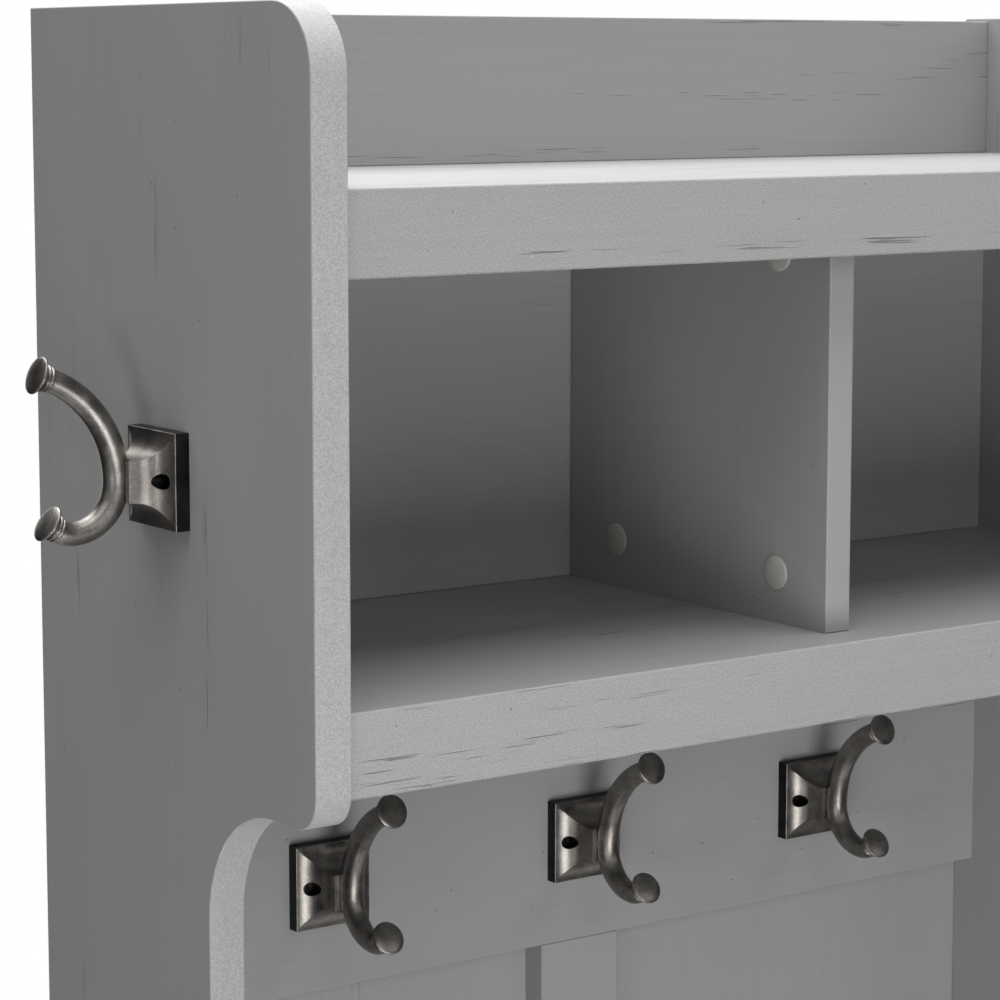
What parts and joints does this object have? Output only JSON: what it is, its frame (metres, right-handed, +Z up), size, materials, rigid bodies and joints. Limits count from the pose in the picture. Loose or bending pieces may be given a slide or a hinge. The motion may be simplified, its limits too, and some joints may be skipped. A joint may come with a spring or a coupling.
{
  "type": "hall tree with hooks",
  "caption": "Tall hall tree: a shoe bench with a seat, a narrow coat space under a hook rail, two cubbies, an open top tray and double-ended coat hooks.",
  "frame": {"origin": "on the floor at the middle of the footprint: halfway across the side panels and halfway through the bench's depth", "axes": "+X to the right as seen from the front, +Y from the front to the back, +Z up"},
  "size_m": [0.7944, 0.4, 1.72],
  "materials": {
    "painted_board": "grey painted wood-grain finish, satin",
    "hardboard": "hardboard, grey painted grain in front and raw brown behind",
    "pewter": "antique pewter, rubbed and slightly grainy",
    "dark_screw": "blackened steel",
    "zinc_fitting": "zinc plated",
    "cover_plastic": "pale grey moulded plastic",
    "beech_dowel": "raw fluted beech",
    "glide_plastic": "white moulded plastic"
  },
  "bodies": {
    "root": {"left_side_panel": "painted_board", "right_side_panel": "painted_board", "top_shelf": "painted_board", "top_shelf_rail": "painted_board", "tray_back": "painted_board", "cubby_floor": "painted_board", "cubby_floor_rail": "painted_board", "cubby_divider": "painted_board", "cubby_back": "painted_board", "hook_rail": "painted_board", "centre_stile": "painted_board", "left_hutch_skin": "hardboard", "right_hutch_skin": "hardboard", "bench_seat": "painted_board", "bench_seat_rail": "painted_board", "bench_divider": "painted_board", "left_shoe_shelf": "painted_board", "right_shoe_shelf": "painted_board", "bench_bottom": "painted_board", "toe_kick": "painted_board", "rear_base_rail": "painted_board", "bench_skin": "hardboard", "left_rail_hook_plate": "pewter", "centre_rail_hook_plate": "pewter", "right_rail_hook_plate": "pewter", "left_side_hook_plate": "pewter", "right_side_hook_plate": "pewter", "left_rail_hook_arm": "pewter", "centre_rail_hook_arm": "pewter", "right_rail_hook_arm": "pewter", "left_side_hook_arm": "pewter", "right_side_hook_arm": "pewter", "hook_plate_screws": "dark_screw", "hook_arm_screws": "dark_screw", "cam_locks": "zinc_fitting", "cam_dowels": "zinc_fitting", "cam_covers": "cover_plastic", "wood_dowels": "beech_dowel", "back_nails": "zinc_fitting", "shelf_pins": "zinc_fitting", "left_wall_bracket": "zinc_fitting", "right_wall_bracket": "zinc_fitting", "bracket_screws": "dark_screw", "front_left_glide": "glide_plastic", "back_left_glide": "glide_plastic", "front_right_glide": "glide_plastic", "back_right_glide": "glide_plastic", "front_centre_glide": "glide_plastic", "back_centre_glide": "glide_plastic"}
  },
  "joints": []
}
